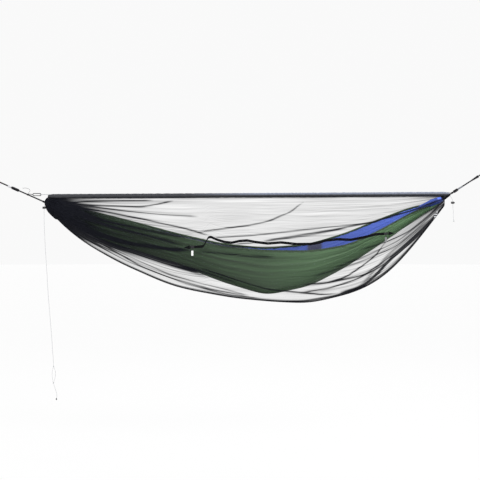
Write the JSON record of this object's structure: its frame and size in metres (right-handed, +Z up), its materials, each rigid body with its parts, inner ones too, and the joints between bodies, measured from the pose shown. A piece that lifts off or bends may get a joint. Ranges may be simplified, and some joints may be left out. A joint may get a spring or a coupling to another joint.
{
  "type": "camping hammock",
  "caption": "Gathered-end camping hammock hung inside a full insect net with ridgeline sleeve, front zip, drawcords with cord locks and rope suspension to two anchor plates.",
  "frame": {"origin": "centre of the left anchor plate's outer bore", "axes": "+X from the left anchor to the right anchor, +Y to the back, along the bore, +Z up"},
  "size_m": [3.564, 0.4107, 1.561],
  "materials": {
    "anchor_metal": "anodised grey, satin",
    "rope": "black braided rope",
    "knot_cord": "black braided cord",
    "ferrule_metal": "bare metal, brushed",
    "binding": "grey woven binding",
    "clip_black": "black coated wire, satin",
    "pale_cord": "pale braided cord",
    "dark_cord": "dark braided cord",
    "sleeve_cloth": "black gathered nylon",
    "green_cloth": "dark green ripstop nylon",
    "blue_cloth": "royal blue ripstop nylon",
    "hem_cloth": "dark green folded hem",
    "net_mesh": "fine black insect mesh",
    "zip_tape": "black zip tape with coil teeth",
    "slider_metal": "black coated slider",
    "pull_white": "white moulded pull",
    "pull_grey": "grey moulded pull",
    "lock_plastic": "black moulded cord lock"
  },
  "bodies": {
    "anchors": {"anchor_plate_left": "anchor_metal", "anchor_plate_right": "anchor_metal"},
    "zip_slider_left": {"zip_slider_left": "slider_metal"},
    "zip_pull_left_outer": {"zip_pull_left_outer": "pull_white"},
    "zip_pull_left_inner": {"zip_pull_left_inner": "pull_grey"},
    "zip_slider_right": {"zip_slider_right": "slider_metal"},
    "zip_pull_right": {"zip_pull_right": "pull_grey"},
    "clip_gate": {"ridge_clip_gate": "clip_black"},
    "cord_lock_left": {"cord_lock_left": "lock_plastic"},
    "cord_lock_plunger_left": {"cord_lock_plunger_left": "lock_plastic"},
    "cord_lock_right": {"cord_lock_right": "lock_plastic"},
    "cord_lock_plunger_right": {"cord_lock_plunger_right": "lock_plastic"},
    "hammock": {"anchor_loop_left": "rope", "anchor_loop_right": "rope", "drawcord_knot_lower": "pale_cord", "drawcord_knot_right": "pale_cord", "drawcord_knot_upper": "pale_cord", "drawcord_left": "pale_cord", "drawcord_right": "pale_cord", "drawcord_strand_a": "pale_cord", "drawcord_strand_b": "pale_cord", "drawcord_tail": "pale_cord", "drawcord_tip": "dark_cord", "end_whipping_left": "knot_cord", "end_whipping_right": "knot_cord", "hammock_far_floor": "green_cloth", "hammock_far_hem": "hem_cloth", "hammock_far_panel": "blue_cloth", "hammock_gather_left": "green_cloth", "hammock_gather_right": "blue_cloth", "hammock_near_floor": "green_cloth", "hammock_near_hem": "hem_cloth", "hammock_near_panel": "green_cloth", "knot_left": "knot_cord", "knot_right": "knot_cord", "net_far_lower": "net_mesh", "net_far_upper": "net_mesh", "net_gather_left": "net_mesh", "net_gather_right": "net_mesh", "net_near_lower": "net_mesh", "net_near_upper": "net_mesh", "ridge_clip": "clip_black", "ridge_hitch": "knot_cord", "ridge_sleeve": "sleeve_cloth", "ridgeline": "pale_cord", "rope_binding_right": "binding", "rope_ferrule_left": "ferrule_metal", "sling_left": "rope", "sling_right": "rope", "sling_tail_right": "rope", "suspension_rope_left": "rope", "suspension_rope_right": "rope", "tail_cord": "dark_cord", "zip_garages": "zip_tape", "zip_tape_lower": "zip_tape", "zip_tape_upper": "zip_tape"}
  },
  "joints": [
    {"name": "hammock_swing", "type": "hinge", "parent": "anchors", "child": "hammock", "pos_m": [0.0448, 0, 0], "axis": [1, 0, 0], "range_deg": [-15, 15]},
    {"name": "zip_left_travel", "type": "slide", "parent": "hammock", "child": "zip_slider_left", "axis": [0.9976, 0, 0.0697], "range_m": [0, 1.2472]},
    {"name": "zip_right_travel", "type": "slide", "parent": "hammock", "child": "zip_slider_right", "axis": [0.9976, 0, 0.0697], "range_m": [-1.2472, 0]},
    {"name": "pull_left_outer_flip", "type": "hinge", "parent": "zip_slider_left", "child": "zip_pull_left_outer", "pos_m": [1.50896, -0.20735, -0.50589], "axis": [0.9976, 0, 0.0697], "range_deg": [-110, 4]},
    {"name": "pull_left_inner_flip", "type": "hinge", "parent": "zip_slider_left", "child": "zip_pull_left_inner", "pos_m": [1.50896, -0.19115, -0.50589], "axis": [0.9976, 0, 0.0697], "range_deg": [-4, 15]},
    {"name": "pull_right_flip", "type": "hinge", "parent": "zip_slider_right", "child": "zip_pull_right", "pos_m": [2.78004, -0.20735, -0.41712], "axis": [0.9976, 0, 0.0697], "range_deg": [-110, 4]},
    {"name": "clip_gate_opening", "type": "hinge", "parent": "hammock", "child": "clip_gate", "pos_m": [0.4448, 0, -0.1599], "axis": [0, 1, 0], "range_deg": [-18, 0], "stiffness_Nm_per_rad": 0.05, "springref_deg": 5.73},
    {"name": "cord_lock_left_travel", "type": "slide", "parent": "hammock", "child": "cord_lock_left", "axis": [0, 0, -1], "range_m": [0, 0.09]},
    {"name": "cord_lock_right_travel", "type": "slide", "parent": "hammock", "child": "cord_lock_right", "axis": [0.02, 0, -0.9998], "range_m": [0, 0.03]},
    {"name": "cord_lock_left_button", "type": "slide", "parent": "cord_lock_left", "child": "cord_lock_plunger_left", "axis": [-1, 0, 0], "range_m": [0, 0.003], "stiffness_N_per_m": 400, "springref_m": -0.002},
    {"name": "cord_lock_right_button", "type": "slide", "parent": "cord_lock_right", "child": "cord_lock_plunger_right", "axis": [-1, 0, 0], "range_m": [0, 0.003], "stiffness_N_per_m": 400, "springref_m": -0.002}
  ]
}
